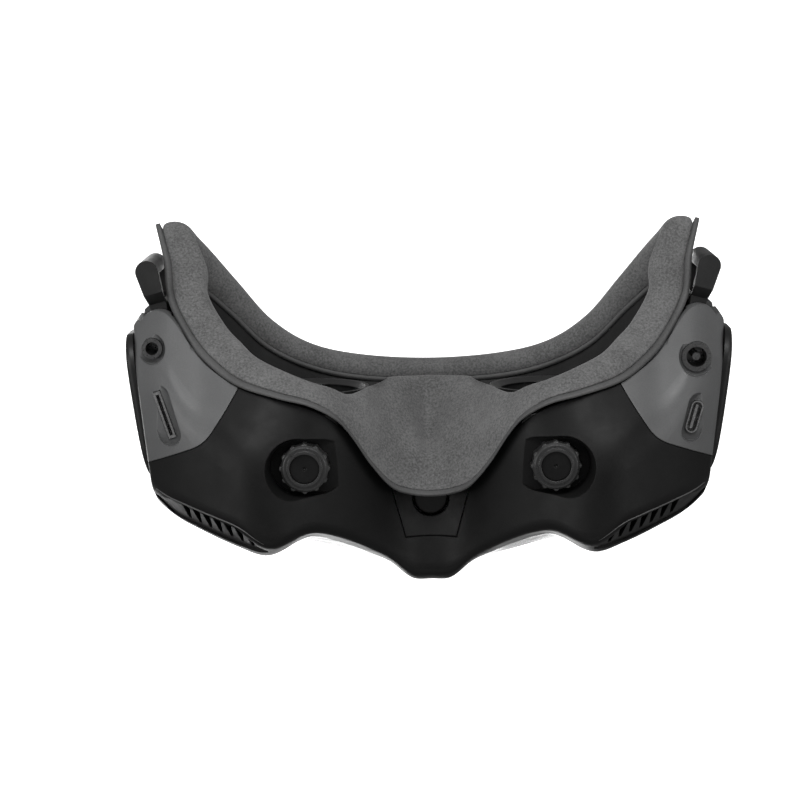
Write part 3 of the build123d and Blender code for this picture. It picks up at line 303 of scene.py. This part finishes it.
def catmull(points, steps, closed=True):
    """Points of a smooth curve through the given vectors, with steps for each span."""
    n = len(points)

    def knot(i):
        return points[i % n] if closed else points[min(max(i, 0), n - 1)]

    result = []
    for i in range(n if closed else n - 1):
        p0, p1, p2, p3 = (knot(i + k) for k in (-1, 0, 1, 2))
        slope, bend, turn = p2 - p0, 2 * p0 - 5 * p1 + 4 * p2 - p3, 3 * p1 - p0 - 3 * p2 + p3
        for j in range(steps):
            t = j / steps
            result.append(0.5 * (2 * p1 + slope * t + bend * t * t + turn * t**3))
    return result


def flipped(v):
    """The vector mirrored to the other side of the goggles."""
    return Vector((-v.x, v.y, v.z))


def ring_stations(steps):
    """Outer edge, width and depth vectors in mm, and the inner share, all the way round."""
    left = [(*(Vector(v) for v in station[:3]), station[3]) for station in RING]
    right = [(*(flipped(v) for v in station[:3]), station[3]) for station in reversed(left[1:-1])]
    loop = left + right
    return list(zip(*[catmull([station[k] for station in loop], steps) for k in range(4)]))


def mesh_object(name, verts, faces, material, smooth=True):
    """A mesh object in the frame, from vertices in mm in the drawing frame."""
    mesh = bpy.data.meshes.new(name)
    mesh.from_pydata([tuple((v + STAND) * MM) for v in verts], [], faces)
    mesh.materials.append(material)
    mesh.polygons.foreach_set("use_smooth", [smooth] * len(mesh.polygons))
    mesh.update()
    thing = bpy.data.objects.new(name, mesh)
    bpy.context.scene.collection.objects.link(thing)
    return thing


def swept(name, profile_at, stations, material):
    """A closed tube whose section at each station comes from profile_at."""
    verts, faces = [], []
    sections = [profile_at(*station) for station in stations]
    m, n = len(sections[0]), len(sections)
    for section in sections:
        verts += section
    for i in range(n):
        for j in range(m):
            a, b = i * m + j, i * m + (j + 1) % m
            c, d = ((i + 1) % n) * m + (j + 1) % m, ((i + 1) % n) * m + j
            faces.append((a, b, c, d))
    return mesh_object(name, verts, faces, material)


def smooth_step(t):
    t = min(max(t, 0.0), 1.0)
    return t * t * (3 - 2 * t)


def clear_of_eyepiece(point):
    """The point, moved out of the column an eyepiece passes through, which closes in towards the face."""
    across = abs(point.x) - min(max(abs(point.x), EYE_NEAR_X), EYE_FAR_X)
    away = Vector((across, 0, point.z - EYE_Z))
    clear = EYE_CLEAR_R * (1 - smooth_step((point.y - EYE_REACH_Y) / EYE_FADE_Y))
    if away.length >= clear or across > 0:
        return point
    push = away * (clear / away.length - 1)
    return point + Vector((math.copysign(1, point.x) * push.x, 0, push.z))


def flap_relief(x, a, b):
    """How far the nose flap is pressed in at (a, b) of the profile. It swells out above its rim, and a
    channel that widens upwards, with a fold in it, is pressed into its middle."""
    half = CHANNEL_HALF * max(b, CHANNEL_FOOT)
    sunk = smooth_step((b - 0.2) / 0.3) * (1 - smooth_step((b - 0.7) / 0.3))
    channel = CHANNEL_DEPTH * (1 - smooth_step(abs(x) / half)) * sunk
    from_fold = (x - CREASE_X) / CREASE_HALF
    crease = CREASE_DEPTH * math.exp(-(from_fold**2)) * sunk
    swell = FLAP_SWELL * smooth_step(b / SWELL_SHARE) * (1 - a)
    return channel + crease - swell


def foam_section(outer, width, depth, inner_share):
    """The foam's outline at one station, set in a little from the frame's edge."""
    inwards = depth.normalized()
    across = width.normalized()
    start = outer + across * FOAM_INSET + inwards * (FRAME_T + FOAM_GAP)
    span = width - across * FOAM_INSET
    reach = depth - inwards * (FRAME_T + FOAM_GAP)
    flap = smooth_step((depth.length - FLAP_FROM) / FLAP_BLEND)
    section = []
    for a, b in FOAM_POINTS:
        point = start + span * a + reach * (b * (1 - (1 - inner_share) * a))
        point += FLAP_INWARDS * (flap * flap_relief(point.x, a, b))
        section.append(clear_of_eyepiece(point))
    return section


def lip_section(outer, width, depth, inner_share):
    """The rigid rim's outline at one station."""
    inwards = depth.normalized()
    return [outer + width * a + inwards * (FRAME_T * b) for a, b in LIP_PROFILE]


profile = catmull([Vector((a, b, 0)) for a, b in FOAM_PROFILE], 4, closed=False)
FOAM_POINTS = [(p.x, p.y) for p in profile] + [FOAM_PROFILE[-1]]
stations = ring_stations(10)
foam = swept("face_foam", foam_section, stations, MATERIALS["face_foam"])
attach(foam, "housing")
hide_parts("foam_pad")
lip = swept("foam_rim", lip_section, stations, MATERIALS["frame_plastic"])
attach(lip, "housing")
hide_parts("foam_frame")


def skirt_band(side):
    """The thin wall that closes the way from the ring's inner edge to the bulkhead on one side."""
    tops, feet = [], []
    for (outer, width, depth, _), (x, z) in zip(RING, SKIRT_FEET):
        outer, width, depth = Vector(outer), Vector(width), Vector(depth)
        tops.append(outer + width - width.normalized() * SKIRT_OVERLAP + depth.normalized() * (FRAME_T / 2))
        feet.append(Vector((x, SKIRT_Y, z)))
    tops, feet = catmull(tops, 6, closed=False), catmull(feet, 6, closed=False)
    verts = []
    for i, (top, foot) in enumerate(zip(tops, feet)):
        along = tops[min(i + 1, len(tops) - 1)] - tops[max(i - 1, 0)]
        thick = (foot - top).cross(along).normalized() * SKIRT_T
        if thick.dot(foot - EYE) < 0:
            thick = -thick
        section = (top, foot, foot + thick, top + thick)
        verts += [p if side > 0 else flipped(p) for p in section]
    rings = len(verts) // 4
    faces = []
    for i in range(rings - 1):
        for j in range(4):
            k = (j + 1) % 4
            faces.append((4 * i + j, 4 * i + k, 4 * i + 4 + k, 4 * i + 4 + j))
    last = 4 * (rings - 1)
    faces += [(0, 1, 2, 3), (last + 3, last + 2, last + 1, last)]
    if side < 0:
        faces = [tuple(reversed(face)) for face in faces]
    name = "light_skirt_" + SIDE_NAMES[side]
    return mesh_object(name, verts, faces, MATERIALS["inner_black"], smooth=False)


for side in (1, -1):
    skirt = skirt_band(side)
    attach(skirt, "housing")
    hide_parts("foam_frame")

# ---- vent rims -----------------------------------------------------------------------------------------
# A fine bead runs along each vent strip's lower edge, light grey as a painted highlight of that edge: x, y, z
# and radius in mm, left side.
VENT_RIM = (
    (44.5, -33.9, -0.5, 0.06), (48, -31.6, -0.3, 0.14), (52, -28.9, 1.1, 0.20), (57, -27.2, 3.7, 0.24),
    (62, -25.8, 7.2, 0.26), (67, -24.3, 11.0, 0.26), (71.5, -22.9, 15.0, 0.24), (75, -21.1, 18.8, 0.14),
)
RIM_SINK, RIM_SECTORS = 0.3, 8  # share of its radius that is sunk, and sides of its section


def surface_of(node):
    """A CAD node's surface, for finding the nearest point on it."""
    mesh = frame["nodes"][node].data
    return BVHTree.FromPolygons([v.co for v in mesh.vertices], [p.vertices for p in mesh.polygons])


def laid_on(surface, point, sink):
    """The nearest point of a CAD surface to a drawing-frame point, sunk a little below it, in mm."""
    spot, normal, _, _ = surface.find_nearest((point + STAND) * MM)
    return spot / MM - STAND - normal * sink


# The bead's light grey material is a painted highlight along the vent strip's lower edge.
def vent_highlight_bead(side):
    """The bead along one vent strip, laid on the casing."""
    sizes = catmull([p[3] for p in VENT_RIM], 6, closed=False)
    guide = catmull([Vector((side * p[0], p[1], p[2])) for p in VENT_RIM], 6, closed=False)
    casing = surface_of("lower_housing")
    path = [laid_on(casing, point, RIM_SINK * size) for point, size in zip(guide, sizes)]
    sectors = RIM_SECTORS
    verts, faces = [], []
    for i, (point, size) in enumerate(zip(path, sizes)):
        along = (path[min(i + 1, len(path) - 1)] - path[max(i - 1, 0)]).normalized()
        across = along.cross(Vector((0, 1, 0))).normalized()
        other = along.cross(across)
        for j in range(sectors):
            a = 2 * math.pi * j / sectors
            verts.append(point + (across * math.cos(a) + other * math.sin(a)) * size)
    for i in range(len(path) - 1):
        for j in range(sectors):
            k = (j + 1) % sectors
            faces.append((i * sectors + j, i * sectors + k, (i + 1) * sectors + k, (i + 1) * sectors + j))
    faces += [tuple(range(sectors)), tuple(range(len(verts) - sectors, len(verts)))]
    return mesh_object("vent_highlight_bead_" + SIDE_NAMES[side], verts, faces, MATERIALS["vent_highlight_bead"])


for side in (1, -1):
    rim = vent_highlight_bead(side)
    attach(rim, "housing")

# ---- stage, light and camera ------------------------------------------------------------------------------
STAGE_REACH = 3.0
FLOOR_Z, BACKDROP_Z = -0.0004, 0.45
STAGE_GLOW = 1.0


def one_sided_stage():
    """A floor seen from above and a backdrop seen from below, with no back and no indirect light."""
    mesh = bpy.data.meshes.new("stage")
    r = STAGE_REACH
    verts = [(-r, -r, FLOOR_Z), (r, -r, FLOOR_Z), (r, r, FLOOR_Z), (-r, r, FLOOR_Z)]
    verts += [(-r, -r, BACKDROP_Z), (-r, r, BACKDROP_Z), (r, r, BACKDROP_Z), (r, -r, BACKDROP_Z)]
    mesh.from_pydata(verts, [], [(0, 1, 2, 3), (4, 5, 6, 7)])
    shader = Shader("pale_stage", 0.9)
    shader.bsdf.inputs["Base Color"].default_value = (0.86, 0.86, 0.86, 1)
    shader.bsdf.inputs["Emission Color"].default_value = (1, 1, 1, 1)
    shader.bsdf.inputs["Emission Strength"].default_value = STAGE_GLOW
    geometry = shader.node("ShaderNodeNewGeometry")
    rays = shader.node("ShaderNodeLightPath")
    front = shader.math("SUBTRACT", 1.0, geometry.outputs["Backfacing"])
    seen = shader.math("MULTIPLY", front, rays.outputs["Is Camera Ray"])
    clear = shader.node("ShaderNodeBsdfTransparent")
    mix = shader.node("ShaderNodeMixShader")
    shader.link(seen, mix.inputs["Fac"])
    shader.link(clear.outputs["BSDF"], mix.inputs[1])
    shader.link(shader.bsdf.outputs["BSDF"], mix.inputs[2])
    shader.link(mix.outputs["Shader"], shader.tree.nodes["Material Output"].inputs["Surface"])
    mesh.materials.append(shader.material)
    stage = bpy.data.objects.new("stage", mesh)
    bpy.context.scene.collection.objects.link(stage)


one_sided_stage()


def softbox(name, place, target, size, power):
    data = bpy.data.lights.new(name, "AREA")
    data.shape = "RECTANGLE"
    data.size, data.size_y = size
    data.energy = power
    light = bpy.data.objects.new(name, data)
    light.location = place
    light.rotation_euler = (Vector(target) - Vector(place)).to_track_quat("-Z", "Y").to_euler()
    bpy.context.scene.collection.objects.link(light)
    return light


MIDDLE = (0, 0, 0.04)
softbox("under_face_side", (0.0, 0.85, -0.65), MIDDLE, (1.2, 0.5), 10.5)
softbox("under_left", (0.85, 0.1, -0.6), MIDDLE, (0.4, 0.8), 4.0)
softbox("under_right", (-0.85, 0.1, -0.6), MIDDLE, (0.4, 0.8), 2.4)
softbox("under_front", (0.0, -0.8, -0.6), MIDDLE, (1.2, 0.4), 0.9)
softbox("overhead", (0.3, -0.3, 1.2), MIDDLE, (1.0, 1.0), 10.0)
world = bpy.data.worlds.new("studio")
world.use_nodes = True
world.node_tree.nodes["Background"].inputs["Color"].default_value = (1, 1, 1, 1)
world.node_tree.nodes["Background"].inputs["Strength"].default_value = 0.22
bpy.context.scene.world = world
bpy.context.scene.view_settings.view_transform = "Standard"

CAMERA_TILT = math.radians(8.0)  # the line of sight leans from straight up towards the wearer's brow
CAMERA_ROLL = math.radians(0.67)
CAMERA_AT = Vector((0.0, 103.83, -704.78))  # mm, in the drawing frame
LENS_MM = 121.84
SHIFT_X = -0.037  # the goggles stand a little right of the picture's middle
sight = Vector((0, -math.sin(CAMERA_TILT), math.cos(CAMERA_TILT)))
level, upright = Vector((-1, 0, 0)), Vector((0, math.cos(CAMERA_TILT), math.sin(CAMERA_TILT)))
right = level * math.cos(CAMERA_ROLL) - upright * math.sin(CAMERA_ROLL)
up = upright * math.cos(CAMERA_ROLL) + level * math.sin(CAMERA_ROLL)
camera_data = bpy.data.cameras.new("camera")
camera_data.lens = LENS_MM
camera_data.sensor_width = 36.0
camera_data.shift_x = SHIFT_X
camera = bpy.data.objects.new("camera", camera_data)
bpy.context.scene.collection.objects.link(camera)
turn = Matrix((right, up, -sight)).transposed().to_4x4()
camera.matrix_world = Matrix.Translation((CAMERA_AT + STAND) * MM) @ turn
bpy.context.scene.camera = camera
